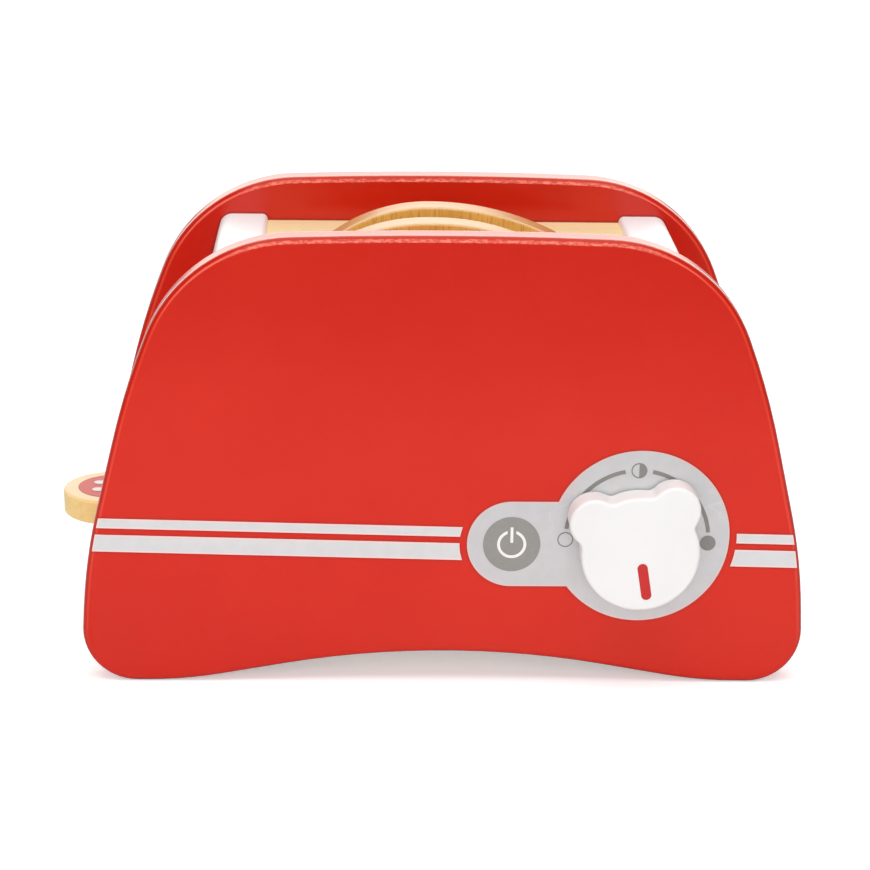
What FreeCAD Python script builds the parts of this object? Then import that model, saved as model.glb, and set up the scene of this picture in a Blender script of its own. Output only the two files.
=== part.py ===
import FreeCAD, Part
import math
import os

from FreeCAD import Vector

# A wooden pop-up toy toaster. Millimetres, +Z up, front towards -Y.
# The pieces are drawn about the middle between the end boards, with the floor at
# Z = 0, and save() moves them so that the origin is the middle of the whole footprint.

# ---- side panels -------------------------------------------------------------
panel_height = 137.2
panel_half_width = 107.5
panel_thickness = 9.0
case_depth = 90.0
panel_edge_round = 1.95
# how far the middle of both panels stands to the left of the middle of the boards
panel_shift = 0.9

# The outline is a polygon with every corner rounded. Each corner is given by how
# far it stands in from the widest point (inset) or down from the top (drop).
crown_rise = 0.8
crown_radius = 1320.0
shoulder_inset = 31.0
shoulder_drop = 1.7
shoulder_radius = 46.0
waist_inset = 13.5
waist_height = 90.8
waist_radius = 237.0
hip_inset = 1.1
hip_height = 38.3
hip_radius = 173.0
foot_outset = 1.0
foot_radius = 16.0
lobe_inset = 30.2
lobe_radius = 124.0
arch_corner_height = 13.7
arch_radius = 272.0
corner_edge_share = 0.98

# ---- end boards between the panels --------------------------------------------
end_board_thickness = 18.0
end_board_slope = 14.0
end_board_lip = 2.0
end_board_top_width = 14.2
end_board_outer_round = 4.0
end_board_inner_round = 1.8

# ---- top plate, cleats and bread chutes ---------------------------------------
top_plate_drop = 14.4
top_plate_thickness = 9.0
slot_end_wall = 11.45
slot_edge_round = 0.8
slot_corner_round = 1.5
cleat_slot_gap = 1.35
cleat_height = 9.5
chute_wall_thickness = 6.0

# ---- base board ----------------------------------------------------------------
base_board_thickness = 6.0
base_board_bottom = 10.4
base_screw_radius = 2.0
base_screw_grip = 10.0
base_screw_head_radius = 4.0
base_screw_spread = 38.0
screw_cross_reach = 2.2
screw_cross_width = 0.9
screw_cross_depth = 0.9

# ---- bread slices ----------------------------------------------------------------
slice_standout = 11.2
slice_thickness = 9.5
slice_spacing = 21.5
slice_half_width = 38.6
slice_left_crown_angle = 36.0
slice_right_crown_angle = 25.5
slice_ear_radius = 6.0
slice_neck_inset = 2.85
slice_neck_drop = 30.1
slice_neck_radius = 10.0
slice_foot_radius = 6.0
slice_edge_round = 0.8
slot_side_clearance = 1.2
slot_end_clearance = 5.25
# the slices are loose, and stand this far from the left ends of their slots
front_slice_left_gap = 1.95
back_slice_left_gap = 3.6
# each crown peaks this far left of the slice's middle, and is rounder on its left
front_crown_shift = 1.15
front_crown_left_radius = 61.5
front_crown_right_radius = 73.0
back_crown_shift = 3.65
back_crown_left_radius = 50.5
back_crown_right_radius = 88.0

# ---- lever -------------------------------------------------------------------------
lever_disc_standout = 12.2
lever_disc_radius = 15.35
lever_top = 46.3
lever_thickness = 7.5
lever_arm_width = 16.0
lever_edge_round = 0.9
lever_press_angle = 18.0
lever_axle_radius = 2.0
lever_axle_seat = 6.0
lever_sleeve_radius = 5.0
lever_sleeve_board_gap = 1.55
lift_bar_radius = 4.0
lift_bar_length = 44.0
lift_bar_screw_radius = 1.2
lift_bar_screw_spread = 9.0
lift_bar_screw_grip = 2.4
lever_badge_radius = 10.9
lever_badge_bar_length = 13.0
lever_badge_bar_width = 3.6
lever_badge_bar_gap = 3.2
lever_window_side_clearance = 0.65
lever_window_end_clearance = 0.7

# ---- lift platform and its guides ------------------------------------------------------
platform_side_gap = 8.0
platform_rod_wall = 4.2
platform_thickness = 8.0
platform_groove_depth = 2.0
guide_rod_radius = 3.0
guide_rod_panel_gap = 13.0
guide_rod_top_seat = 7.0
guide_rod_base_seat = 4.0
platform_headroom = 2.5

# ---- rest block under the lever ---------------------------------------------------------
rest_block_length = 16.0
rest_block_width = 24.0
rest_felt_thickness = 1.2

# ---- knob ------------------------------------------------------------------------------------
knob_board_distance = 14.85
knob_z = 46.0
knob_tilt = 9.5
knob_thickness = 9.0
knob_head_radius = 17.5
knob_head_offset = 1.7
knob_ear_radius = 7.5
knob_ear_inset = 1.0
knob_ear_angle = 46.0
knob_ear_blend = 3.0
knob_edge_round = 1.0
knob_pointer_start = 2.8
knob_pointer_end = 14.2
knob_pointer_width = 3.0
knob_pointer_depth = 0.8
knob_axle_radius = 5.0
knob_axle_seat = 6.0
knob_washer_radius = 8.0
knob_washer_thickness = 0.6
knob_plate_thickness = 1.0
knob_screw_radius = 1.5
knob_screw_length = 12.0
knob_screw_head_radius = 3.6
knob_screw_head_height = 2.0
knob_screw_head_round = 0.8

# ---- dowels that join the panels to the end boards ----------------------------------------------
dowel_radius = 3.0
dowel_panel_seat = 6.0
dowel_board_seat = 14.0
dowel_heights = (33.0, 70.0, 107.0)

# ---- foil and print on the front panel ---------------------------------------------------------------
foil_thickness = 0.2
print_thickness = 0.1
print_tilt = 1.2
stripe_edge_gap = 1.0
stripe_foil_gap = 2.2
upper_stripe_rise = 0.4
upper_stripe_height = 3.0
lower_stripe_drop = 6.9
lower_stripe_height = 5.25
foil_circle_shift_x = 0.95
foil_circle_shift_z = 0.7
foil_circle_radius = 26.6
foil_lobe_distance = 37.05
foil_lobe_drop = 1.9
foil_lobe_radius = 13.25
button_radius = 8.5
power_ring_radius = 3.9
power_line = 0.85
power_gap_width = 2.55
power_bar_rise = 0.5
power_bar_length = 4.8
scale_radius = 21.2
scale_line = 1.2
scale_mark_radius = 2.35
scale_mark_line = 0.35
scale_end_gap_angle = 9.1
scale_top_gap_angle = 11.0
scale_light_angle = 181.0
scale_half_angle = 90.0
scale_dark_angle = -3.5

# ---- fits ---------------------------------------------------------------------------------------------
running_fit = 0.08
glue_fit = 0.03
rest_gap = 0.1
slide_gap = 0.2
stop_gap = 0.3
print_gap = 0.1
foil_bore_gap = 0.3
same_level = 1e-4

# ---- worked-out places ----------------------------------------------------------------------------------
front = -case_depth / 2
inner = case_depth / 2 - panel_thickness
slope_run = math.tan(math.radians(end_board_slope))
end_board_run = end_board_thickness / math.cos(math.radians(end_board_slope))
base_board_top = base_board_bottom + base_board_thickness
slice_y = slice_spacing / 2
slot_half_width = slice_thickness / 2 + slot_side_clearance
slot_half_length = slice_half_width + slot_end_clearance
top_plate_half_length = slot_half_length + slot_end_wall
top_plate_top = panel_height - top_plate_drop
top_plate_bottom = top_plate_top - top_plate_thickness
end_board_top = top_plate_top + end_board_lip
end_board_top_reach = top_plate_half_length + end_board_top_width
cleat_reach = slot_half_length + cleat_slot_gap
cleat_bottom = top_plate_bottom - cleat_height
guide_rod_reach = (cleat_reach + top_plate_half_length) / 2
guide_rod_offset = inner - guide_rod_panel_gap - guide_rod_radius
platform_half_length = guide_rod_reach + guide_rod_radius + platform_rod_wall
platform_half_width = inner - platform_side_gap
foil_front = front - foil_thickness
print_front = foil_front - print_thickness
knob_back = foil_front - print_gap - knob_washer_thickness
knob_front = knob_back - knob_thickness
UP = Vector(0, 0, 1)
BACK = Vector(0, 1, 0)
CENTRE = Vector(0, 0, 0)


def board_outer_x(z):
    """Where the sloping outer face of an end board stands at height z."""
    return end_board_top_reach + (end_board_top - z) * slope_run


def board_inner_x(z):
    return board_outer_x(z) - end_board_run


def board_middle_x(z):
    return board_outer_x(z) - end_board_run / 2


lever_bottom = lever_top - lever_thickness
lever_axis_z = lever_top - lever_thickness / 2
lever_pivot_reach = board_inner_x(lever_axis_z) - lever_sleeve_board_gap - lever_sleeve_radius
lever_disc_reach = board_outer_x(lever_axis_z) + lever_disc_standout
lever_press = math.radians(lever_press_angle)
lift_travel = lever_pivot_reach * lever_press
platform_bottom = lever_top + lift_bar_radius + slide_gap
platform_top = platform_bottom + platform_thickness
slice_bottom = platform_top - platform_groove_depth + rest_gap
slice_top = top_plate_top + slice_standout
chute_bottom = platform_top + lift_travel + platform_headroom
knob_x = board_inner_x(knob_z) - knob_board_distance
foil_circle_x = knob_x + foil_circle_shift_x
foil_circle_z = knob_z + foil_circle_shift_z
foil_lobe_x = knob_x - foil_lobe_distance
foil_lobe_z = knob_z - foil_lobe_drop
case_x = (lever_disc_reach + lever_disc_radius - (panel_half_width - panel_shift)) / 2
case_y = (front - knob_front) / 2


def save(name, *solids):
    """Write one node, moved from the case's middle to the part's own frame."""
    shape = solids[0] if len(solids) == 1 else Part.makeCompound(list(solids))
    shape = shape.copy()
    shape.translate(Vector(case_x, case_y, 0))
    shape.exportStep(os.path.join("parts", name + ".step"))


def block(x0, x1, y0, y1, z0, z1):
    return Part.makeBox(x1 - x0, y1 - y0, z1 - z0, Vector(x0, y0, z0))


def rod_y(x, z, radius, y0, y1):
    return Part.makeCylinder(radius, y1 - y0, Vector(x, y0, z), BACK)


def rod_z(x, y, radius, z0, z1):
    return Part.makeCylinder(radius, z1 - z0, Vector(x, y, z0), UP)


def tangent_lengths(corners, radii):
    """How far each rounding starts from its corner, kept within the edges beside it."""
    count = len(corners)
    wanted = []
    for i in range(count):
        before = (corners[i - 1] - corners[i]).normalize()
        after = (corners[(i + 1) % count] - corners[i]).normalize()
        half_turn = (math.pi - before.getAngle(after)) / 2
        wanted.append(radii[i] * math.tan(half_turn))
    allowed = list(wanted)
    for i in range(count):
        j = (i + 1) % count
        edge = (corners[j] - corners[i]).Length
        share = min(1.0, corner_edge_share * edge / max(wanted[i] + wanted[j], same_level))
        allowed[i] = min(allowed[i], wanted[i] * share)
        allowed[j] = min(allowed[j], wanted[j] * share)
    return allowed


def rounded_face(points, radii):
    """A face in the XZ plane: a polygon with each corner rounded by its own radius."""
    corners = [Vector(x, 0, z) for x, z in points]
    count = len(corners)
    reach = tangent_lengths(corners, radii)
    edges = []
    last = None
    first = None
    for i in range(count):
        corner = corners[i]
        before = (corners[i - 1] - corner).normalize()
        after = (corners[(i + 1) % count] - corner).normalize()
        start = corner + before * reach[i]
        end = corner + after * reach[i]
        if last is not None:
            edges.append(Part.LineSegment(last, start).toShape())
        else:
            first = start
        if reach[i] > same_level:
            half = before.getAngle(after) / 2
            radius = reach[i] * math.tan(half)
            towards = (before + after).normalize()
            middle = corner + towards * (radius / math.sin(half) - radius)
            edges.append(Part.Arc(start, middle, end).toShape())
        last = end
    edges.append(Part.LineSegment(last, first).toShape())
    return Part.Face(Part.Wire(edges))


def along_y(face, y0, y1):
    """Extrude a face of the XZ plane from y0 to y1."""
    placed = face.copy()
    placed.translate(Vector(0, y0, 0))
    return placed.extrude(Vector(0, y1 - y0, 0))


def mirrored(half):
    """Close a right-hand half outline, whose first and last corners lie on X = 0."""
    inner_corners = half[1:-1]
    return half + [(-x, z) for x, z in reversed(inner_corners)]


def mirrored_radii(half):
    return half + list(reversed(half[1:-1]))


def edges_at_y(solid, *levels):
    """The edges that lie wholly in one of the planes Y = level."""
    found = []
    for edge in solid.Edges:
        box = edge.BoundBox
        for level in levels:
            if abs(box.YMin - level) < same_level and abs(box.YMax - level) < same_level:
                found.append(edge)
    return found


def edges_at_z(solid, *levels):
    """The edges that lie wholly in one of the planes Z = level."""
    found = []
    for edge in solid.Edges:
        box = edge.BoundBox
        for level in levels:
            if abs(box.ZMin - level) < same_level and abs(box.ZMax - level) < same_level:
                found.append(edge)
    return found


# ---- case -----------------------------------------------------------------------------------------------------


def panel_outline():
    half = [
        (0, panel_height + crown_rise),
        (panel_half_width - shoulder_inset, panel_height - shoulder_drop),
        (panel_half_width - waist_inset, waist_height),
        (panel_half_width - hip_inset, hip_height),
        (panel_half_width + foot_outset, 0),
        (panel_half_width - lobe_inset, 0),
        (0, arch_corner_height),
    ]
    radii = [
        crown_radius,
        shoulder_radius,
        waist_radius,
        hip_radius,
        foot_radius,
        lobe_radius,
        arch_radius,
    ]
    face = rounded_face(mirrored(half), mirrored_radii(radii))
    face.translate(Vector(-panel_shift, 0, 0))
    return face


def dowel_places():
    """X and Z of every dowel, on the middle line of both end boards."""
    return [(side * board_middle_x(z), z) for side in (-1, 1) for z in dowel_heights]


def panel(y0, y1, inner_face):
    """A side panel, with blind holes for the dowels and the lever axle."""
    solid = along_y(panel_outline(), y0, y1)
    solid = solid.makeFillet(panel_edge_round, edges_at_y(solid, y0, y1))
    into = 1 if inner_face == y0 else -1
    for x, z in dowel_places():
        far = inner_face + into * (dowel_panel_seat + rest_gap)
        hole = rod_y(x, z, dowel_radius + glue_fit, min(inner_face, far), max(inner_face, far))
        solid = solid.cut(hole)
    far = inner_face + into * (lever_axle_seat + rest_gap)
    seat = rod_y(
        -lever_pivot_reach,
        lever_axis_z,
        lever_axle_radius + glue_fit,
        min(inner_face, far),
        max(inner_face, far),
    )
    return solid.cut(seat)


def front_panel():
    bore = rod_y(knob_x, knob_z, knob_axle_radius + running_fit, front, -inner)
    return panel(front, -inner, -inner).cut(bore)


def back_panel():
    return panel(inner, -front, inner)


def panel_dowels(side):
    """The six dowels of one panel: side is -1 for the front one and 1 for the back."""
    ends = sorted((side * (inner + dowel_panel_seat), side * (inner - dowel_board_seat)))
    return [rod_y(x, z, dowel_radius, ends[0], ends[1]) for x, z in dowel_places()]


def end_board(side):
    """A sloping board between the panels, upright on its inner face at the top."""
    knee = end_board_top - (top_plate_half_length + end_board_run - end_board_top_reach) / slope_run
    points = [
        (side * end_board_top_reach, end_board_top),
        (side * board_outer_x(base_board_top), base_board_top),
        (side * (board_outer_x(base_board_top) - end_board_run), base_board_top),
        (side * top_plate_half_length, knee),
        (side * top_plate_half_length, end_board_top),
    ]
    radii = [end_board_outer_round, 0, 0, 0, end_board_inner_round]
    solid = along_y(rounded_face(points, radii), -inner, inner)
    for x, z in dowel_places():
        if x * side > 0:
            for end in (-1, 1):
                far = end * (inner - dowel_board_seat - rest_gap)
                ends = sorted((end * inner, far))
                solid = solid.cut(rod_y(x, z, dowel_radius + glue_fit, ends[0], ends[1]))
    for screw in base_screw_solids(glue_fit):
        solid = solid.cut(screw)
    return solid


def lever_window():
    """The opening in the left end board, down to where the pressed lever stops."""
    half = lever_disc_radius + lever_window_side_clearance
    low = lever_window_sill()
    high = lever_top + lever_window_end_clearance
    reach = board_outer_x(low) + end_board_thickness
    return block(-reach, -lever_pivot_reach, -half, half, low, high)


def lever_window_sill():
    """The height of the window's sill, stop_gap under the lever when it is right down."""
    fall = math.tan(lever_press)
    half = lever_thickness / 2 / math.cos(lever_press)
    # the lever's lower face meets the board's outer face at this distance from the pivot
    reach_at_axis = board_outer_x(lever_axis_z) - lever_pivot_reach
    run = (reach_at_axis + half * slope_run) / (1 - fall * slope_run)
    return lever_axis_z - run * fall - half - stop_gap


def base_board():
    reach = board_outer_x(base_board_top)
    solid = block(-reach, reach, -inner, inner, base_board_bottom, base_board_top)
    for screw in base_screw_solids(glue_fit):
        solid = solid.cut(screw)
    seat = base_board_top - guide_rod_base_seat - rest_gap
    for x, y in guide_rod_places():
        solid = solid.cut(rod_z(x, y, guide_rod_radius + glue_fit, seat, base_board_top))
    return solid


def base_screw_solids(grow):
    """Four countersunk wood screws, from below through the base board into the end boards."""
    radius = base_screw_radius + grow
    head = base_screw_head_radius + grow
    sink = head - radius
    tip = base_board_top + base_screw_grip
    screws = []
    for side in (-1, 1):
        x = side * board_middle_x(base_board_top + base_screw_grip / 2)
        for y in (-base_screw_spread / 2, base_screw_spread / 2):
            cone = Part.makeCone(head, radius, sink, Vector(x, y, base_board_bottom), UP)
            shank = rod_z(x, y, radius, base_board_bottom, tip + grow)
            screws.append(cone.fuse(shank).removeSplitter())
    return screws


def screw_cross(x, y, z):
    """The cross cut for a screwdriver, sunk upwards from the underside of a head."""
    reach = screw_cross_reach
    arm = screw_cross_width / 2
    top = z + screw_cross_depth
    return block(x - reach, x + reach, y - arm, y + arm, z, top).fuse(
        block(x - arm, x + arm, y - reach, y + reach, z, top)
    )


def base_screws():
    screws = []
    for screw in base_screw_solids(0.0):
        middle = screw.BoundBox.Center
        screws.append(screw.cut(screw_cross(middle.x, middle.y, base_board_bottom)))
    return screws


def top_plate():
    """The plate that the bread drops through, with both slots rounded on their top edges."""
    half = top_plate_half_length
    solid = block(-half, half, -inner, inner, top_plate_bottom, top_plate_top)
    for side in (-1, 1):
        y = side * slice_y
        slot = block(
            -slot_half_length,
            slot_half_length,
            y - slot_half_width,
            y + slot_half_width,
            top_plate_bottom,
            top_plate_top,
        )
        upright = [e for e in slot.Edges if e.BoundBox.ZLength > top_plate_thickness / 2]
        solid = solid.cut(slot.makeFillet(slot_corner_round, upright))
    middle = half - slot_end_wall / 2
    rim = [e for e in edges_at_z(solid, top_plate_top) if e.BoundBox.XMax < middle]
    rim = [e for e in rim if e.BoundBox.XMin > -middle]
    return solid.makeFillet(slot_edge_round, rim)


def top_cleat(side):
    """The strip that carries the top plate, and holds the top of one guide rod."""
    ends = sorted((side * cleat_reach, side * top_plate_half_length))
    solid = block(ends[0], ends[1], -inner, inner, cleat_bottom, top_plate_bottom)
    for x, y in guide_rod_places():
        if x * side > 0:
            seat = cleat_bottom + guide_rod_top_seat + rest_gap
            solid = solid.cut(rod_z(x, y, guide_rod_radius + glue_fit, cleat_bottom, seat))
    return solid


def slice_divider():
    half = slice_y - slot_half_width
    return block(-cleat_reach, cleat_reach, -half, half, chute_bottom, top_plate_bottom)


def chute_wall(side):
    near = slice_y + slot_half_width
    ends = sorted((side * near, side * (near + chute_wall_thickness)))
    return block(-cleat_reach, cleat_reach, ends[0], ends[1], chute_bottom, top_plate_bottom)


def guide_rod_places():
    """X and Y of the left rod, behind the lever, and of the right rod, in front."""
    return [(-guide_rod_reach, guide_rod_offset), (guide_rod_reach, -guide_rod_offset)]


def guide_rod(place):
    low = base_board_top - guide_rod_base_seat
    high = cleat_bottom + guide_rod_top_seat
    return rod_z(place[0], place[1], guide_rod_radius, low, high)


def rest_block():
    half = rest_block_length / 2
    width = rest_block_width / 2
    top = lever_bottom - rest_gap - rest_felt_thickness
    return block(-half, half, -width, width, base_board_top, top)


def rest_felt():
    half = rest_block_length / 2
    width = rest_block_width / 2
    top = lever_bottom - rest_gap
    return block(-half, half, -width, width, top - rest_felt_thickness, top)


def lever_axle():
    end = inner + lever_axle_seat
    return rod_y(-lever_pivot_reach, lever_axis_z, lever_axle_radius, -end, end)


def axle_sleeves():
    """Two tubes on the axle that keep the lever in the middle."""
    near = lever_arm_width / 2 + slide_gap
    sleeves = []
    for y0, y1 in ((-inner, -near), (near, inner)):
        tube = rod_y(-lever_pivot_reach, lever_axis_z, lever_sleeve_radius, y0, y1)
        hole = rod_y(-lever_pivot_reach, lever_axis_z, lever_axle_radius + running_fit, y0, y1)
        sleeves.append(tube.cut(hole))
    return sleeves


# ---- foil and print -----------------------------------------------------------------------------------------------


def foil_shape(grow, y0, y1):
    """The big dial circle with the button lobe at its left, larger by grow all round."""
    disc = rod_y(foil_circle_x, foil_circle_z, foil_circle_radius + grow, y0, y1)
    lobe_radius_here = foil_lobe_radius + grow
    lobe = rod_y(foil_lobe_x, foil_lobe_z, lobe_radius_here, y0, y1)
    bridge = block(
        foil_lobe_x,
        foil_circle_x,
        y0,
        y1,
        foil_lobe_z - lobe_radius_here,
        foil_lobe_z + lobe_radius_here,
    )
    return disc.fuse([lobe, bridge]).removeSplitter()


def dial_foil():
    bore = rod_y(knob_x, knob_z, knob_axle_radius + foil_bore_gap, foil_front, front)
    return foil_shape(0.0, foil_front, front).cut(bore)


def left_stripe(bottom, height):
    """The stripe runs from the left edge across the middle to the button lobe."""
    reach = 2 * panel_half_width
    band = block(-reach, foil_lobe_x, foil_front, front, bottom, bottom + height)
    return trimmed_band(band)


def right_stripe(bottom, height):
    """The short stripe between the dial circle and the right edge."""
    reach = 2 * panel_half_width
    band = block(foil_circle_x, reach, foil_front, front, bottom, bottom + height)
    return trimmed_band(band)


def trimmed_band(band):
    """Tilt a band, then stop it short of the panel's edge and of the dial foil."""
    band.rotate(CENTRE, BACK, print_tilt)
    field = panel_outline().makeOffset2D(-stripe_edge_gap)
    band = band.common(along_y(field, foil_front, front))
    return band.cut(foil_shape(stripe_foil_gap, foil_front, front)).Solids[0]


def ring_y(x, z, outer, inner_radius, y0, y1):
    return rod_y(x, z, outer, y0, y1).cut(rod_y(x, z, inner_radius, y0, y1))


def button_print():
    return rod_y(foil_lobe_x, foil_lobe_z, button_radius, print_front, foil_front)


def power_print():
    """An open ring with an upright bar through its gap."""
    y0 = print_front - print_thickness
    outer = power_ring_radius + power_line / 2
    ring = ring_y(foil_lobe_x, foil_lobe_z, outer, outer - power_line, y0, print_front)
    left = foil_lobe_x - power_gap_width / 2
    gap = block(left, left + power_gap_width, y0, print_front, foil_lobe_z, foil_lobe_z + 2 * outer)
    left = foil_lobe_x - power_line / 2
    low = foil_lobe_z + power_bar_rise
    bar = block(left, left + power_line, y0, print_front, low, low + power_bar_length)
    return [ring.cut(gap), bar]


def mark_place(angle):
    turn = math.radians(angle)
    return knob_x + scale_radius * math.cos(turn), knob_z + scale_radius * math.sin(turn)


def wedge(start, end, y0, y1):
    """A kite-shaped wedge about the knob's axis, between two angles, well past the scale."""
    far = 2 * scale_radius
    points = [Vector(knob_x, y0, knob_z)]
    for angle in (start, (start + end) / 2, end):
        turn = math.radians(angle)
        points.append(Vector(knob_x + far * math.cos(turn), y0, knob_z + far * math.sin(turn)))
    points.append(points[0])
    return Part.Face(Part.makePolygon(points)).extrude(Vector(0, y1 - y0, 0))


def scale_print():
    """The browning scale: a light mark, a half-dark one and a dark one, joined by an arc."""
    y0 = print_front
    y1 = foil_front
    outer = scale_radius + scale_line / 2
    band = ring_y(knob_x, knob_z, outer, outer - scale_line, y0, y1)
    top_gap = scale_top_gap_angle
    end_gap = scale_end_gap_angle
    left = wedge(scale_half_angle + top_gap, scale_light_angle - end_gap, y0, y1)
    right = wedge(scale_dark_angle + end_gap, scale_half_angle - top_gap, y0, y1)
    pieces = band.common(left).Solids + band.common(right).Solids
    radius = scale_mark_radius
    for angle in (scale_light_angle, scale_half_angle):
        x, z = mark_place(angle)
        pieces.append(ring_y(x, z, radius, radius - scale_mark_line, y0, y1))
    x, z = mark_place(scale_half_angle)
    inside = rod_y(x, z, radius - scale_mark_line, y0, y1)
    pieces.append(inside.common(block(x, x + radius, y0, y1, z - radius, z + radius)))
    x, z = mark_place(scale_dark_angle)
    pieces.append(rod_y(x, z, radius, y0, y1))
    return pieces


# ---- lever ------------------------------------------------------------------------------------------------------------


def lever_paddle():
    """The round paddle and its arm, one piece, bored for the axle."""
    disc = rod_z(-lever_disc_reach, 0, lever_disc_radius, lever_bottom, lever_top)
    half = lever_arm_width / 2
    arm = block(-lever_disc_reach, 0, -half, half, lever_bottom, lever_top)
    tip = rod_z(0, 0, half, lever_bottom, lever_top)
    solid = disc.fuse([arm, tip]).removeSplitter()
    solid = solid.makeFillet(lever_edge_round, edges_at_z(solid, lever_bottom, lever_top))
    bore = rod_y(-lever_pivot_reach, lever_axis_z, lever_axle_radius + running_fit, -half, half)
    solid = solid.cut(bore)
    for screw in lift_bar_screw_solids(glue_fit):
        solid = solid.cut(screw)
    return solid


def lift_bar():
    """The half-round bar across the arm's inner end, which pushes the platform up."""
    half = lift_bar_length / 2
    rod = rod_y(0, lever_top, lift_bar_radius, -half, half)
    reach = 2 * lift_bar_radius
    solid = rod.common(block(-reach, reach, -half, half, lever_top, lever_top + reach))
    for screw in lift_bar_screw_solids(glue_fit):
        solid = solid.cut(screw)
    return solid


def lift_bar_screw_solids(grow):
    """Two small countersunk screws from under the arm into the lift bar."""
    radius = lift_bar_screw_radius + grow
    head = 2 * lift_bar_screw_radius + grow
    tip = lever_top + lift_bar_screw_grip + grow
    screws = []
    for y in (-lift_bar_screw_spread / 2, lift_bar_screw_spread / 2):
        cone = Part.makeCone(head, radius, head - radius, Vector(0, y, lever_bottom), UP)
        screws.append(cone.fuse(rod_z(0, y, radius, lever_bottom, tip)).removeSplitter())
    return screws


def lever_badge():
    top = lever_top + print_thickness
    return rod_z(-lever_disc_reach, 0, lever_badge_radius, lever_top, top)


def lever_badge_bars():
    """Two plain rounded bars, side by side, on the badge."""
    low = lever_top + print_thickness
    high = low + print_thickness
    bars = []
    for side in (-1, 1):
        y = side * (lever_badge_bar_width + lever_badge_bar_gap) / 2
        radius = lever_badge_bar_width / 2
        run = lever_badge_bar_length / 2 - radius
        ends = [rod_z(-lever_disc_reach + end * run, y, radius, low, high) for end in (-1, 1)]
        left = -lever_disc_reach - run
        middle = block(left, left + 2 * run, y - radius, y + radius, low, high)
        bars.append(middle.fuse(ends).removeSplitter())
    return bars


# ---- platform and bread ---------------------------------------------------------------------------------------------------


def lift_platform():
    """The board under the bread, grooved for both slices and bored for the guide rods."""
    half = platform_half_length
    width = platform_half_width
    solid = block(-half, half, -width, width, platform_bottom, platform_top)
    floor = platform_top - platform_groove_depth
    for side in (-1, 1):
        y = side * slice_y
        groove = block(-half, half, y - slot_half_width, y + slot_half_width, floor, platform_top)
        solid = solid.cut(groove)
    for x, y in guide_rod_places():
        radius = guide_rod_radius + running_fit
        solid = solid.cut(rod_z(x, y, radius, platform_bottom, platform_top))
    return solid


def bread_slice(side, left_gap, crown_shift, left_radius, right_radius):
    """A slice of bread: a crown of two arcs, two ears, and a slight neck under them."""
    left_slope = math.tan(math.radians(slice_left_crown_angle))
    right_slope = math.tan(math.radians(slice_right_crown_angle))
    # the arcs meet at the crown's highest point, which lies between these two corners
    left_corner = -crown_shift - left_radius * math.tan(math.radians(slice_left_crown_angle / 2))
    right_corner = -crown_shift + right_radius * math.tan(math.radians(slice_right_crown_angle / 2))
    neck = slice_half_width - slice_neck_inset
    neck_z = slice_top - slice_neck_drop
    points = [
        (left_corner, slice_top),
        (right_corner, slice_top),
        (slice_half_width, slice_top - (slice_half_width - right_corner) * right_slope),
        (neck, neck_z),
        (neck, slice_bottom),
        (-neck, slice_bottom),
        (-neck, neck_z),
        (-slice_half_width, slice_top - (slice_half_width + left_corner) * left_slope),
    ]
    radii = [
        left_radius,
        right_radius,
        slice_ear_radius,
        slice_neck_radius,
        slice_foot_radius,
        slice_foot_radius,
        slice_neck_radius,
        slice_ear_radius,
    ]
    y0 = side * slice_y - slice_thickness / 2
    y1 = y0 + slice_thickness
    solid = along_y(rounded_face(points, radii), y0, y1)
    solid = solid.makeFillet(slice_edge_round, edges_at_y(solid, y0, y1))
    solid.translate(Vector(left_gap - slot_end_clearance, 0, 0))
    return solid


def front_bread_slice():
    return bread_slice(
        -1,
        front_slice_left_gap,
        front_crown_shift,
        front_crown_left_radius,
        front_crown_right_radius,
    )


def back_bread_slice():
    return bread_slice(
        1,
        back_slice_left_gap,
        back_crown_shift,
        back_crown_left_radius,
        back_crown_right_radius,
    )


# ---- knob --------------------------------------------------------------------------------------------------------------------


def knob_turned(shape):
    """Turn a shape drawn upright about the knob's axis to the knob's resting angle."""
    turned = shape.copy()
    turned.rotate(Vector(knob_x, 0, knob_z), BACK, -knob_tilt)
    return turned


def knob_head():
    """A plain round head with two round ears, their joins blended, and a blank face."""
    low = knob_z - knob_head_offset
    solids = []
    for side in (-1, 1):
        turn = math.radians(knob_ear_angle)
        distance = knob_head_radius - knob_ear_inset
        x = knob_x + side * distance * math.sin(turn)
        z = low + distance * math.cos(turn)
        solids.append(rod_y(x, z, knob_ear_radius, knob_front, knob_back))
    head = rod_y(knob_x, low, knob_head_radius, knob_front, knob_back)
    head = head.fuse(solids).removeSplitter()
    joins = [e for e in head.Edges if e.BoundBox.YLength > knob_thickness / 2]
    joins = [e for e in joins if e.BoundBox.XLength < same_level and not is_seam(e, head)]
    head = head.makeFillet(knob_ear_blend, joins)
    head = head.makeFillet(knob_edge_round, edges_at_y(head, knob_front, knob_back))
    seat = rod_y(knob_x, knob_z, knob_axle_radius + glue_fit, axle_top() - rest_gap, knob_back)
    head = head.cut(seat)
    recess = pointer_shape(glue_fit, knob_front, knob_front + knob_pointer_depth)
    return knob_turned(head.cut(recess))


def is_seam(edge, solid):
    """A seam edge bounds one face twice, where a join lies between two faces."""
    faces = [f for f in solid.Faces for e in f.Edges if e.isSame(edge)]
    return len({f.hashCode() for f in faces}) < 2


def axle_top():
    return knob_back - knob_axle_seat


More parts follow.
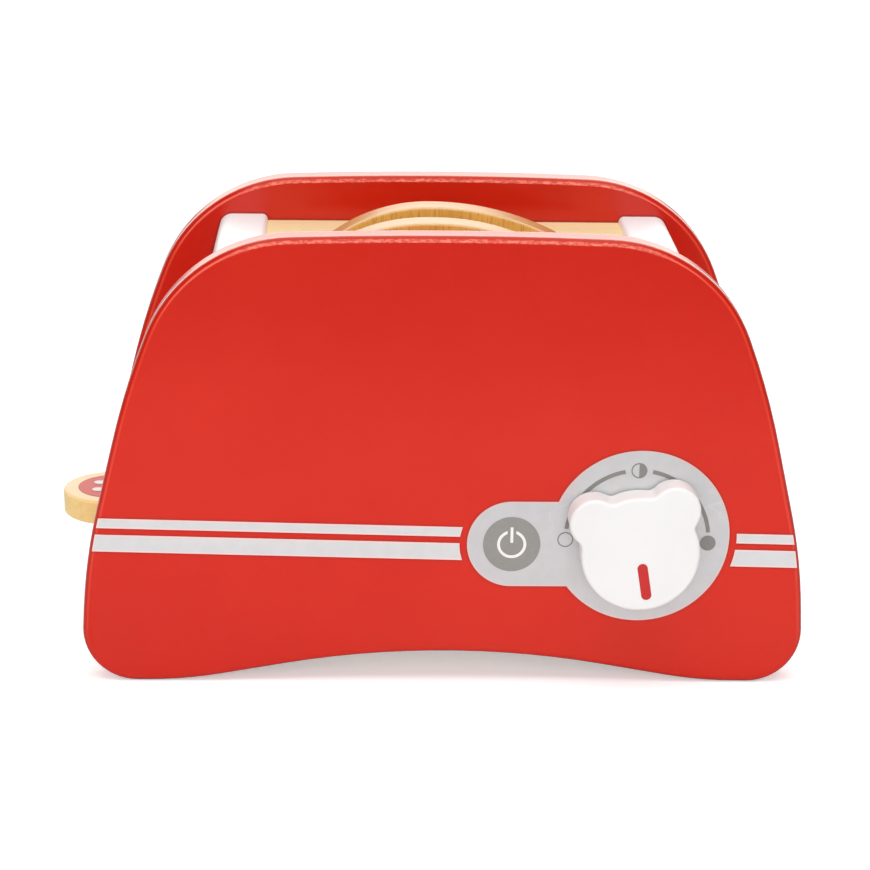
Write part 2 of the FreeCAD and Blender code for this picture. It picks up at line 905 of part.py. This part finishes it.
def pointer_shape(grow, y0, y1):
    """A bar with round ends that hangs below the middle of the head."""
    low = knob_z - knob_head_offset
    radius = knob_pointer_width / 2 + grow
    near = low - knob_pointer_start - knob_pointer_width / 2
    far = low - knob_pointer_end + knob_pointer_width / 2
    ends = [rod_y(knob_x, z, radius, y0, y1) for z in (near, far)]
    bar = block(knob_x - radius, knob_x + radius, y0, y1, far, near)
    return bar.fuse(ends).removeSplitter()


def knob_pointer():
    return knob_turned(pointer_shape(0.0, knob_front, knob_front + knob_pointer_depth))


def knob_axle():
    """The dowel glued into the knob, which turns in the front panel."""
    end = -inner + stop_gap
    dowel = rod_y(knob_x, knob_z, knob_axle_radius, axle_top(), end)
    return dowel.cut(rod_y(knob_x, knob_z, knob_screw_radius + glue_fit, screw_tip() - rest_gap, end))


def screw_tip():
    return -inner + stop_gap + knob_plate_thickness - knob_screw_length


def knob_washer():
    y0 = knob_back
    y1 = knob_back + knob_washer_thickness
    hole = knob_axle_radius + glue_fit
    return ring_y(knob_x, knob_z, knob_washer_radius, hole, y0, y1)


def knob_keeper():
    """The steel washer behind the panel that keeps the knob in."""
    y0 = -inner + stop_gap
    y1 = y0 + knob_plate_thickness
    hole = knob_screw_radius + glue_fit
    return ring_y(knob_x, knob_z, knob_washer_radius, hole, y0, y1)


def knob_screw():
    seat = -inner + stop_gap + knob_plate_thickness
    shank = rod_y(knob_x, knob_z, knob_screw_radius, screw_tip(), seat)
    head_end = seat + knob_screw_head_height
    head = rod_y(knob_x, knob_z, knob_screw_head_radius, seat, head_end)
    head = head.makeFillet(knob_screw_head_round, edges_at_y(head, head_end))
    arm = screw_cross_width / 2
    reach = screw_cross_reach
    deep = head_end - screw_cross_depth
    flat = block(knob_x - reach, knob_x + reach, deep, head_end, knob_z - arm, knob_z + arm)
    upright = block(knob_x - arm, knob_x + arm, deep, head_end, knob_z - reach, knob_z + reach)
    return shank.fuse(head).removeSplitter().cut(flat).cut(upright)


# ---- write every node -------------------------------------------------------------------------------------------------------------


def build():
    os.makedirs("parts", exist_ok=True)
    save("front_panel", front_panel())
    save("back_panel", back_panel())
    save("left_end_board", end_board(-1).cut(lever_window()))
    save("right_end_board", end_board(1))
    save("front_panel_dowels", *panel_dowels(-1))
    save("back_panel_dowels", *panel_dowels(1))
    save("base_board", base_board())
    save("base_screws", *base_screws())
    save("top_plate", top_plate())
    save("left_top_cleat", top_cleat(-1))
    save("right_top_cleat", top_cleat(1))
    save("slice_divider", slice_divider())
    save("front_chute_wall", chute_wall(-1))
    save("back_chute_wall", chute_wall(1))
    left_place, right_place = guide_rod_places()
    save("left_guide_rod", guide_rod(left_place))
    save("right_guide_rod", guide_rod(right_place))
    save("rest_block", rest_block())
    save("rest_felt", rest_felt())
    save("lever_axle", lever_axle())
    save("axle_sleeves", *axle_sleeves())
    save("dial_foil", dial_foil())
    save("upper_left_stripe", left_stripe(knob_z + upper_stripe_rise, upper_stripe_height))
    save("lower_left_stripe", left_stripe(knob_z - lower_stripe_drop, lower_stripe_height))
    save("upper_right_stripe", right_stripe(knob_z + upper_stripe_rise, upper_stripe_height))
    save("lower_right_stripe", right_stripe(knob_z - lower_stripe_drop, lower_stripe_height))
    save("button_print", button_print())
    save("power_print", *power_print())
    save("scale_print", *scale_print())
    save("lever_paddle", lever_paddle())
    save("lift_bar", lift_bar())
    save("lift_bar_screws", *lift_bar_screw_solids(0.0))
    save("lever_badge", lever_badge())
    save("lever_badge_bars", *lever_badge_bars())
    save("lift_platform", lift_platform())
    save("front_bread_slice", front_bread_slice())
    save("back_bread_slice", back_bread_slice())
    save("knob_head", knob_head())
    save("knob_pointer", knob_pointer())
    save("knob_axle", knob_axle())
    save("knob_washer", knob_washer())
    save("knob_keeper", knob_keeper())
    save("knob_screw", knob_screw())


build()
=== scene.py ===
import math

import bpy
from mathutils import Matrix, Vector

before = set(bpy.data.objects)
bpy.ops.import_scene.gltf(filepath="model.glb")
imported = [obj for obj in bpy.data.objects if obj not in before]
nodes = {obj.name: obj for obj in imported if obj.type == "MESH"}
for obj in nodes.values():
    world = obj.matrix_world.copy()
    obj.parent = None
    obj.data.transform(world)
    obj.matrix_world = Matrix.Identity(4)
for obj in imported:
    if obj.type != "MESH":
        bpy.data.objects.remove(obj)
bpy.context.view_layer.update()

black = (0.0, 0.0, 0.0)
white = (1.0, 1.0, 1.0)


# ---- node helpers --------------------------------------------------------------


class Graph:
    """A node tree, with short calls for the nodes used here."""

    def __init__(self, tree):
        self.nodes = tree.nodes
        self.links = tree.links
        self.place = self.nodes.new("ShaderNodeTexCoord").outputs["Object"]

    def set(self, socket, value):
        """A number, a colour or another node's output goes to a socket."""
        if isinstance(value, bpy.types.NodeSocket):
            self.links.new(value, socket)
        elif isinstance(value, (tuple, list)) and len(value) == 3 and socket.type == "RGBA":
            socket.default_value = (*value, 1.0)
        else:
            socket.default_value = value

    def math(self, operation, a, b=0.0, c=0.0):
        node = self.nodes.new("ShaderNodeMath")
        node.operation = operation
        for socket, value in zip(node.inputs, (a, b, c)):
            self.set(socket, value)
        return node.outputs[0]

    def total(self, *values):
        result = values[0]
        for value in values[1:]:
            result = self.math("ADD", result, value)
        return result

    def times(self, *values):
        result = values[0]
        for value in values[1:]:
            result = self.math("MULTIPLY", result, value)
        return result

    def invert(self, value):
        return self.math("SUBTRACT", 1.0, value)

    def mix(self, factor, a, b):
        node = self.nodes.new("ShaderNodeMix")
        node.data_type = "RGBA"
        self.set(node.inputs["Factor"], factor)
        self.set(node.inputs["A"], a)
        self.set(node.inputs["B"], b)
        return node.outputs["Result"]

    def stretch(self, scale, offset=(0.0, 0.0, 0.0), turn=(0.0, 0.0, 0.0)):
        """The object's coordinates, stretched: a larger scale makes finer detail that way."""
        node = self.nodes.new("ShaderNodeMapping")
        self.links.new(self.place, node.inputs["Vector"])
        node.inputs["Scale"].default_value = scale
        node.inputs["Location"].default_value = offset
        node.inputs["Rotation"].default_value = turn
        return node.outputs["Vector"]

    def noise(self, vector, scale, detail=3.0, roughness=0.5, distortion=0.0):
        node = self.nodes.new("ShaderNodeTexNoise")
        self.links.new(vector, node.inputs["Vector"])
        node.inputs["Scale"].default_value = scale
        node.inputs["Detail"].default_value = detail
        node.inputs["Roughness"].default_value = roughness
        node.inputs["Distortion"].default_value = distortion
        return node.outputs["Fac"]

    def ramp(self, value, low, high):
        """Nought below low, one above high, and smooth between them."""
        node = self.nodes.new("ShaderNodeMapRange")
        node.interpolation_type = "SMOOTHSTEP"
        self.set(node.inputs["Value"], value)
        node.inputs["From Min"].default_value = low
        node.inputs["From Max"].default_value = high
        return node.outputs["Result"]

    def strip(self, value, rise, fall):
        """One from the rise to the fall, each a pair of values, and nought outside them."""
        return self.times(self.ramp(value, *rise), self.invert(self.ramp(value, *fall)))

    def between(self, value, low, high):
        """From low, where value is nought, to high, where it is one."""
        return self.math("MULTIPLY_ADD", value, high - low, low)

    def part(self, vector, axis):
        node = self.nodes.new("ShaderNodeSeparateXYZ")
        self.links.new(vector, node.inputs[0])
        return node.outputs[axis]


class Finish(Graph):
    """A material with a principled shader."""

    rim_samples = 8
    crease_samples = 6

    def __init__(self, name):
        self.material = bpy.data.materials.new(name)
        self.material.use_nodes = True
        super().__init__(self.material.node_tree)
        self.shader = self.nodes["Principled BSDF"]

    def shade(self, colour, roughness, **constants):
        """Constants are named as the shader's sockets, with _ for a space."""
        self.set(self.shader.inputs["Base Color"], colour)
        self.set(self.shader.inputs["Roughness"], roughness)
        for name, value in constants.items():
            self.shader.inputs[name.replace("_", " ")].default_value = value
        return self.material

    def true_normal(self):
        return self.nodes.new("ShaderNodeNewGeometry").outputs["Normal"]

    def facing(self, axis):
        """How far the true surface faces along an axis, either way, from 0 to 1."""
        return self.math("ABSOLUTE", self.part(self.true_normal(), axis))

    def rim(self, radius):
        """One within about the radius of a sharp edge, and nought elsewhere."""
        rounded = self.nodes.new("ShaderNodeBevel")
        rounded.inputs["Radius"].default_value = radius
        rounded.samples = self.rim_samples
        match = self.nodes.new("ShaderNodeVectorMath")
        match.operation = "DOT_PRODUCT"
        self.links.new(rounded.outputs[0], match.inputs[0])
        self.links.new(self.true_normal(), match.inputs[1])
        return self.invert(self.ramp(match.outputs["Value"], 0.96, 0.9995))

    def crease(self, reach):
        """One in a tight corner against another part, and nought in the open: the mask for
        painted shade in such corners.
        """
        node = self.nodes.new("ShaderNodeAmbientOcclusion")
        node.samples = self.crease_samples
        node.inputs["Distance"].default_value = reach
        return self.invert(self.ramp(node.outputs["AO"], 0.78, 0.99))

    def bump(self, height, distance, strength=1.0, after=None):
        node = self.nodes.new("ShaderNodeBump")
        self.set(node.inputs["Height"], height)
        node.inputs["Distance"].default_value = distance
        node.inputs["Strength"].default_value = strength
        if after is not None:
            self.links.new(after, node.inputs["Normal"])
        self.links.new(node.outputs[0], self.shader.inputs["Normal"])
        return node.outputs[0]


def dress(material, *names):
    for name in names:
        slots = nodes[name].data.materials
        slots.clear()
        slots.append(material)


def toned(colour, factor):
    return tuple(min(1.0, factor * value) for value in colour)


# ---- paint ---------------------------------------------------------------------


def red_paint(name, inward):
    """Gloss paint on fibreboard, with painted highlight flecks along the top of its
    round-overs.

    The paint's edge is drawn by how far the surface faces forward or back: nought on the
    flat edge, one on the broad faces, and in between on the round-over. The broad face that
    faces inward, 1 to the back and -1 to the front, is a little darker, as painted shade.
    """
    light_red = (0.670, 0.0150, 0.0060)
    lighter_red = (0.710, 0.0190, 0.0075)
    mottle_red = (0.55, 0.009, 0.004)
    arris_shade_red = (0.46, 0.010, 0.004)
    highlight_fleck_pink = (1.0, 0.165, 0.095)
    highlight_line_orange = (0.95, 0.100, 0.045)
    crease_shade_brown = (0.30, 0.012, 0.008)
    crease_shade_width = 0.0009
    shine_tint = (1.0, 0.96, 0.84, 1.0)

    g = Finish(name)
    even = g.stretch((1, 1, 1))
    cloud = g.noise(even, 14.0, 4.0, 0.6)
    mottle = g.noise(even, 900.0, 3.0, 0.65)
    colour = g.mix(g.ramp(cloud, 0.3, 0.7), light_red, lighter_red)
    colour = g.mix(g.times(g.ramp(mottle, 0.5, 0.75), 0.10), colour, mottle_red)

    height = g.part(g.place, "Z")
    # painted shade: the colour is darker towards the top and towards the bottom
    top_painted_shade = g.times(g.ramp(height, 0.075, 0.135), 0.10)
    bottom_painted_shade = g.times(g.invert(g.ramp(height, 0.005, 0.055)), 0.06)
    # painted shade: the broad face that faces inward is darker
    towards_inside = g.times(g.part(g.true_normal(), "Y"), inward)
    inward_face_shade = g.times(g.ramp(towards_inside, 0.97, 0.999), 0.06)
    colour = g.mix(g.total(top_painted_shade, bottom_painted_shade, inward_face_shade), colour, black)

    facing = g.facing("Y")
    # painted shade: a darker band across the middle of the round-over
    arris_shade = g.strip(facing, (0.30, 0.50), (0.76, 0.86))
    colour = g.mix(g.times(arris_shade, 0.8), colour, arris_shade_red)

    # how far the edge's outline, apart from its round-over, faces up
    outward = g.math("SQRT", g.math("SUBTRACT", 1.0001, g.times(facing, facing)))
    upward = g.math("DIVIDE", g.part(g.true_normal(), "Z"), outward)
    top = g.ramp(upward, 0.88, 0.985)
    ripple = g.noise(g.stretch((0.50, 1, 1), (0.3, 0.1, 0.2)), 1300.0, 3.0, 0.6)
    broken = g.between(g.ramp(ripple, 0.42, 0.60), 0.30, 1.0)
    # painted highlight: pale flecks along the top of the round-over, broken up by the ripple
    flecks = g.times(g.strip(facing, (0.78, 0.86), (0.995, 0.9998)), top, broken)
    colour = g.mix(g.times(flecks, 0.88), colour, highlight_fleck_pink)

    # away from the top, only a faint thin line of painted highlight is left of them
    thin_highlight = g.times(g.strip(facing, (0.88, 0.94), (0.985, 0.998)), g.invert(top))
    thin_highlight = g.times(thin_highlight, g.ramp(upward, -0.4, 0.6))
    colour = g.mix(g.times(thin_highlight, 0.45), colour, highlight_line_orange)
    # painted shade: a thin darker line in tight corners, such as along the films' edges
    colour = g.mix(g.times(g.crease(crease_shade_width), 0.8), colour, crease_shade_brown)

    # the thick paint on the round-over's outer part, its painted highlight flecks and its thin
    # painted highlight line shine more
    shoulder = g.strip(facing, (0.02, 0.10), (0.25, 0.62))
    g.set(g.shader.inputs["Coat Weight"], g.total(shoulder, flecks, g.times(thin_highlight, 0.4)))

    peel = g.noise(even, 300.0, 3.0, 0.5)
    grain = g.bump(g.times(flecks, ripple), 0.00030, 0.9)
    g.bump(peel, 0.00004, 0.5, grain)
    return g.shade(
        colour, 0.18, Specular_IOR_Level=0.42, Specular_Tint=shine_tint,
        Coat_Roughness=0.10, Coat_IOR=1.7,
    )


def white_paint(name, dark, light):
    """Satin paint with a fine orange peel."""
    g = Finish(name)
    even = g.stretch((1, 1, 1))
    cloud = g.noise(even, 30.0, 3.0, 0.6)
    colour = g.mix(g.ramp(cloud, 0.3, 0.7), dark, light)
    peel = g.noise(even, 420.0, 3.0, 0.55)
    g.bump(peel, 0.00006, 0.5)
    return g.shade(colour, 0.32, Specular_IOR_Level=0.40)


# ---- wood ----------------------------------------------------------------------


def wood(name, pale, dark, along, rings=70.0, fleck=0.5, rough=0.45, top=None):
    """Lacquered wood: growth lines, a fine grain along one axis, and short dark flecks.

    Rings is how close the growth lines are, fleck how strong the flecks are, and top the
    colour given to upper faces as painted shade, where there is one.
    """
    g = Finish(name)
    run = {"X": (0.06, 1, 1), "Y": (1, 0.06, 1), "Z": (1, 1, 0.06)}[along]
    short = {"X": (0.22, 1, 1), "Y": (1, 0.22, 1), "Z": (1, 1, 0.22)}[along]
    lines = g.noise(g.stretch(run), rings, 5.0, 0.6, 0.35)
    fine = g.noise(g.stretch(run, (0.2, 0.3, 0.1)), rings * 11.0, 3.0, 0.6)
    ticks = g.noise(g.stretch(short, (0.7, 0.2, 0.5)), 1100.0, 2.0, 0.5)
    colour = g.mix(g.ramp(lines, 0.32, 0.7), pale, dark)
    colour = g.mix(g.times(g.ramp(fine, 0.45, 0.75), 0.35), colour, toned(dark, 0.8))
    colour = g.mix(g.times(g.ramp(ticks, 0.62, 0.74), fleck), colour, toned(dark, 0.45))
    # painted shade: faces that look up are mixed towards the darker top colour
    if top is not None:
        colour = g.mix(g.times(g.ramp(g.facing("Z"), 0.6, 0.95), 0.75), colour, top)
    g.bump(g.total(fine, g.times(ticks, -0.6)), 0.00006, 0.5)
    return g.shade(colour, rough, Specular_IOR_Level=0.30)


def bread_wood():
    """Slices of beech: golden faces with fine upright flecks, and a smoother brown crust, with
    a pale painted highlight along the edge between them.
    """
    pale_gold = (0.84, 0.49, 0.120)
    deep_gold = (0.72, 0.38, 0.075)
    grain_brown = (0.42, 0.20, 0.040)
    fleck_brown = (0.34, 0.16, 0.034)
    pale_crust = (0.64, 0.36, 0.130)
    deep_crust = (0.58, 0.28, 0.085)
    edge_highlight_pale = (0.86, 0.62, 0.38)

    g = Finish("bread_wood")
    lines = g.noise(g.stretch((1, 1, 0.10)), 120.0, 5.0, 0.6, 0.3)
    fine = g.noise(g.stretch((1, 1, 0.07), (0.4, 0.1, 0.3)), 1500.0, 3.0, 0.65)
    flecks = g.noise(g.stretch((1, 1, 0.10), (0.1, 0.6, 0.2)), 2100.0, 1.0, 0.5)
    face = g.mix(g.ramp(lines, 0.3, 0.72), pale_gold, deep_gold)
    face = g.mix(g.times(g.ramp(fine, 0.48, 0.72), 0.55), face, grain_brown)
    face = g.mix(g.times(g.ramp(flecks, 0.60, 0.72), 0.65), face, fleck_brown)

    grain = g.noise(g.stretch((0.10, 1, 1), (0.9, 0.2, 0.1)), 210.0, 4.0, 0.6, 0.2)
    crust = g.mix(g.ramp(grain, 0.35, 0.7), pale_crust, deep_crust)
    facing = g.facing("Y")
    # painted highlight: a pale band where the crust turns into the face
    crust = g.mix(g.times(g.ramp(facing, 0.15, 0.45), 0.6), crust, edge_highlight_pale)

    broad = g.ramp(facing, 0.80, 0.95)
    rough = g.between(broad, 0.24, 0.50)
    g.bump(g.total(lines, g.times(fine, -0.7)), 0.00006, 0.5)
    return g.shade(g.mix(broad, crust, face), rough, Specular_IOR_Level=0.30)


def plywood(name, broad_axis):
    """Bare plywood: veneer on the broad faces, and its layers on the cut edges."""
    layer_thickness = 0.0012
    g = Finish(name)
    run = g.noise(g.stretch((0.08, 1, 1)), 90.0, 5.0, 0.6, 0.3)
    face = g.mix(g.ramp(run, 0.3, 0.7), (0.70, 0.50, 0.31), (0.58, 0.39, 0.22))
    level = g.math("DIVIDE", g.part(g.place, broad_axis), layer_thickness)
    layer = g.ramp(g.math("PINGPONG", level, 1.0), 0.42, 0.58)
    cut = g.mix(layer, (0.62, 0.43, 0.25), (0.40, 0.24, 0.12))
    broad = g.ramp(g.facing(broad_axis), 0.6, 0.8)
    g.bump(run, 0.0001, 0.5)
    return g.shade(g.mix(broad, cut, face), 0.7, Specular_IOR_Level=0.25)


# ---- film, print, metal and felt -----------------------------------------------


def film(name, colour, rough, wave, crease_highlights=0.0, metallic=0.0):
    """Stuck-on film: a pale pink painted highlight along its cut edge, a faint mottle, slow
    waves, and painted highlight lines along fine creases.
    """
    crease_highlight_white = (0.86, 0.86, 0.86)
    rim_highlight_pink = (0.98, 0.68, 0.65)
    rim_highlight_width = 0.0009

    g = Finish(name)
    even = g.stretch((1, 1, 1))
    mottle = g.noise(even, 260.0, 4.0, 0.6)
    body = g.mix(g.ramp(mottle, 0.3, 0.7), toned(colour, 0.975), toned(colour, 1.02))

    # a painted highlight line along a crease lies where the slow noise crosses its middle, and
    # only here and there
    fold = g.noise(g.stretch((1, 1, 2.6), (0.3, 0.1, 0.6), (0, 0.35, 0)), 26.0, 2.0, 0.5, 0.8)
    line = g.invert(g.ramp(g.math("ABSOLUTE", g.math("SUBTRACT", fold, 0.5)), 0.0, 0.012))
    some = g.ramp(g.noise(even, 40.0, 1.0), 0.52, 0.60)
    body = g.mix(g.times(line, some, crease_highlights), body, crease_highlight_white)

    # painted highlight: a pale pink rim along the film's cut edge
    body = g.mix(g.rim(rim_highlight_width), body, rim_highlight_pink)
    g.bump(g.noise(g.stretch((1, 1, 2.2)), 45.0, 2.0, 0.5, 0.6), wave)
    return g.shade(body, rough, Specular_IOR_Level=0.4, Metallic=metallic)


def ink(name, colour, rough=0.4, line=None, line_width=0.0):
    """Print with a faint grain, and a darker outline where one is given."""
    g = Finish(name)
    if line is not None:
        colour = g.mix(g.rim(line_width), colour, line)
    grain = g.noise(g.stretch((1, 1, 1)), 1500.0, 3.0, 0.6)
    body = g.mix(g.times(g.invert(g.ramp(grain, 0.35, 0.7)), 0.06), colour, black)
    g.bump(grain, 0.00001, 0.5)
    return g.shade(body, rough, Specular_IOR_Level=0.3)


def steel():
    """Brushed steel."""
    g = Finish("steel")
    brush = g.noise(g.stretch((1, 1, 1)), 800.0, 3.0, 0.6)
    g.bump(brush, 0.00002, 0.5)
    tone = g.mix(g.ramp(brush, 0.3, 0.7), (0.50, 0.50, 0.50), (0.62, 0.62, 0.61))
    return g.shade(tone, 0.32, Metallic=1.0)


def felt():
    """Dark felt with matted fibres."""
    g = Finish("felt")
    fibre = g.noise(g.stretch((1, 1, 1)), 1400.0, 5.0, 0.75, 1.5)
    g.bump(fibre, 0.0004, 0.9)
    tone = g.mix(g.ramp(fibre, 0.3, 0.7), (0.055, 0.055, 0.058), (0.13, 0.13, 0.135))
    return g.shade(tone, 0.95, Sheen_Weight=0.4)


def dress_all():
    """Each carried-over node gets its finish."""
    dress(red_paint("red_front", 1.0), "front_panel")
    dress(red_paint("red_back", -1.0), "back_panel")
    dress(
        white_paint("board_white", (0.92, 0.93, 0.93), (0.95, 0.96, 0.96)),
        "left_end_board", "right_end_board",
    )
    dress(white_paint("knob_white", (0.87, 0.87, 0.86), (0.90, 0.90, 0.89)), "knob_head")

    dress(
        wood("plate_wood", (0.92, 0.76, 0.44), (0.87, 0.68, 0.38), "X", rings=60.0, fleck=0.25),
        "top_plate",
    )
    dress(bread_wood(), "front_bread_slice", "back_bread_slice")
    # the lever's darker top colour is painted shade
    dress(
        wood("lever_wood", (1.0, 0.73, 0.31), (0.97, 0.67, 0.25), "X",
             rings=75.0, fleck=0.20, rough=0.32, top=(0.80, 0.51, 0.31)),
        "lever_paddle",
    )
    pale_dowel = (0.80, 0.60, 0.40)
    dark_dowel = (0.66, 0.45, 0.26)
    dress(wood("dowel_z", pale_dowel, dark_dowel, "Z"), "left_guide_rod", "right_guide_rod")
    dress(
        wood("dowel_y", pale_dowel, dark_dowel, "Y"),
        "lift_bar", "front_panel_dowels", "back_panel_dowels", "axle_sleeves", "knob_axle",
    )
    dress(plywood("plywood_flat", "Z"), "base_board", "lift_platform")
    dress(
        plywood("plywood_upright", "Y"),
        "slice_divider", "front_chute_wall", "back_chute_wall", "rest_block",
    )
    dress(plywood("plywood_cleat", "X"), "left_top_cleat", "right_top_cleat")

    dress(steel(), "lever_axle", "base_screws", "lift_bar_screws", "knob_keeper", "knob_screw")
    dress(felt(), "rest_felt")
    dress(
        film("silver_film", (0.72, 0.72, 0.73), 0.36, 0.00012, crease_highlights=0.35, metallic=0.5),
        "dial_foil",
    )
    dress(
        film("stripe_film", (0.700, 0.700, 0.705), 0.40, 0.00003),
        "upper_left_stripe", "lower_left_stripe", "upper_right_stripe", "lower_right_stripe",
    )

    dress(ink("button_ink", (0.320, 0.310, 0.290)), "button_print")
    dress(ink("power_ink", (0.95, 0.94, 0.92)), "power_print")
    dress(ink("scale_ink", (0.270, 0.265, 0.255)), "scale_print")
    dress(
        ink("badge_ink", (0.48, 0.020, 0.012), line=(0.23, 0.050, 0.020), line_width=0.0009),
        "lever_badge",
    )
    dress(
        ink("badge_bar_ink", (0.72, 0.69, 0.69), line=(0.40, 0.12, 0.08), line_width=0.0004),
        "lever_badge_bars",
    )
    dress(ink("pointer_ink", (0.62, 0.030, 0.028), 0.3), "knob_pointer")
    dress(ink("washer_nylon", (0.74, 0.72, 0.68), 0.5), "knob_washer")


# ---- camera --------------------------------------------------------------------


def place_camera():
    """The camera stands where the proportions of both panels say that it did."""
    place = (-0.02660, -0.79792, 0.31812)
    ahead = Vector((0.03464, 0.95265, -0.30209)).normalized()
    roll = math.radians(0.938)
    data = bpy.data.cameras.new("camera")
    data.sensor_width = 36.0
    data.lens = 112.75
    data.clip_start = 0.05
    camera = bpy.data.objects.new("camera", data)
    bpy.context.scene.collection.objects.link(camera)
    side = ahead.cross(Vector((0, 0, 1))).normalized()
    up = side.cross(ahead)
    tilted_side = side * math.cos(roll) + up * math.sin(roll)
    tilted_up = up * math.cos(roll) - side * math.sin(roll)
    turn = Matrix((tilted_side, tilted_up, -ahead)).transposed().to_4x4()
    camera.matrix_world = Matrix.Translation(place) @ turn
    bpy.context.scene.camera = camera


# ---- world, floor and lamps ----------------------------------------------------


def make_world():
    """A white room to look at, which lights softly.

    Gloss mirrors a bright window behind the object, a ceiling, and otherwise a dim room.
    """
    room_light = 0.30
    dim_room = 0.12
    ceiling_gloss = 1.7
    lamp_tint = (1.0, 0.95, 0.84)
    world = bpy.data.worlds.new("world")
    bpy.context.scene.world = world
    world.use_nodes = True
    g = Graph(world.node_tree)
    direction = g.nodes.new("ShaderNodeTexCoord").outputs["Generated"]
    height = g.part(direction, "Z")
    behind = g.ramp(g.part(direction, "Y"), 0.0, 0.5)
    below_ceiling = g.invert(g.ramp(height, 0.80, 0.93))
    window = g.times(behind, below_ceiling, g.between(g.ramp(height, 0.38, 0.60), 1.0, 2.6))
    ceiling = g.times(g.ramp(height, 0.78, 0.93), ceiling_gloss)
    gloss = g.total(window, ceiling, dim_room)

    path = g.nodes.new("ShaderNodeLightPath").outputs
    glossy = path["Is Glossy Ray"]
    seen = g.math("MAXIMUM", path["Is Camera Ray"], path["Is Transmission Ray"])
    lit = g.times(g.invert(g.math("MAXIMUM", seen, glossy)), room_light)
    back = g.nodes["Background"]
    g.set(back.inputs["Color"], g.mix(glossy, white, lamp_tint))
    g.set(back.inputs["Strength"], g.total(seen, g.times(glossy, gloss), lit))


def make_floor():
    """A pale floor. The camera sees it brighter, more so far off, where it meets the room."""
    half = 3.0
    colour = 0.93
    colour_in_gloss = 0.10
    added_by_object = 0.60
    near_glow = 0.40
    far_glow = 1.0
    corners = [(-half, -half, 0), (half, -half, 0), (half, half, 0), (-half, half, 0)]
    mesh = bpy.data.meshes.new("floor")
    mesh.from_pydata(corners, [], [(0, 1, 2, 3)])
    floor = bpy.data.objects.new("floor", mesh)
    bpy.context.scene.collection.objects.link(floor)
    g = Finish("floor")
    path = g.nodes.new("ShaderNodeLightPath").outputs
    glossy = path["Is Glossy Ray"]
    by_object = g.ramp(g.part(g.place, "Y"), -0.60, -0.22)
    level = g.between(glossy, colour, colour_in_gloss)
    level = g.total(level, g.times(glossy, by_object, added_by_object))
    mottle = g.noise(g.stretch((1, 1, 1)), 5.0, 2.0)
    tone = g.nodes.new("ShaderNodeCombineColor")
    for socket in tone.inputs:
        g.links.new(g.times(level, g.between(mottle, 0.99, 1.01)), socket)

    g.shader.inputs["Emission Color"].default_value = (*white, 1.0)
    across = g.math("ABSOLUTE", g.part(g.place, "X"))
    along = g.math("ABSOLUTE", g.part(g.place, "Y"))
    far = g.ramp(g.math("MAXIMUM", across, along), 0.5, 1.4)
    glow = g.times(path["Is Camera Ray"], g.between(far, near_glow, far_glow))
    g.set(g.shader.inputs["Emission Strength"], glow)
    mesh.materials.append(g.shade(tone.outputs[0], 0.9, Specular_IOR_Level=0.0))


def soft_lamp(name, place, size, power, in_gloss=True):
    """A flat lamp that shines at the middle of the object."""
    middle = Vector((0.0, 0.0, 0.07))
    data = bpy.data.lights.new(name, "AREA")
    data.shape = "RECTANGLE"
    data.size, data.size_y = size
    data.energy = power
    lamp = bpy.data.objects.new(name, data)
    bpy.context.scene.collection.objects.link(lamp)
    lamp.rotation_mode = "QUATERNION"
    lamp.rotation_quaternion = (middle - Vector(place)).to_track_quat("-Z", "Y")
    lamp.location = place
    lamp.visible_glossy = in_gloss


dress_all()
place_camera()
make_world()
make_floor()
soft_lamp("front", (-0.10, -1.20, 0.50), (1.7, 0.75), 7.0)
soft_lamp("top", (0.0, -0.25, 1.30), (1.4, 1.0), 12.2, in_gloss=False)
soft_lamp("back", (0.0, 1.25, 0.50), (2.2, 0.7), 6.0)

scene = bpy.context.scene
scene.view_settings.view_transform = "Standard"
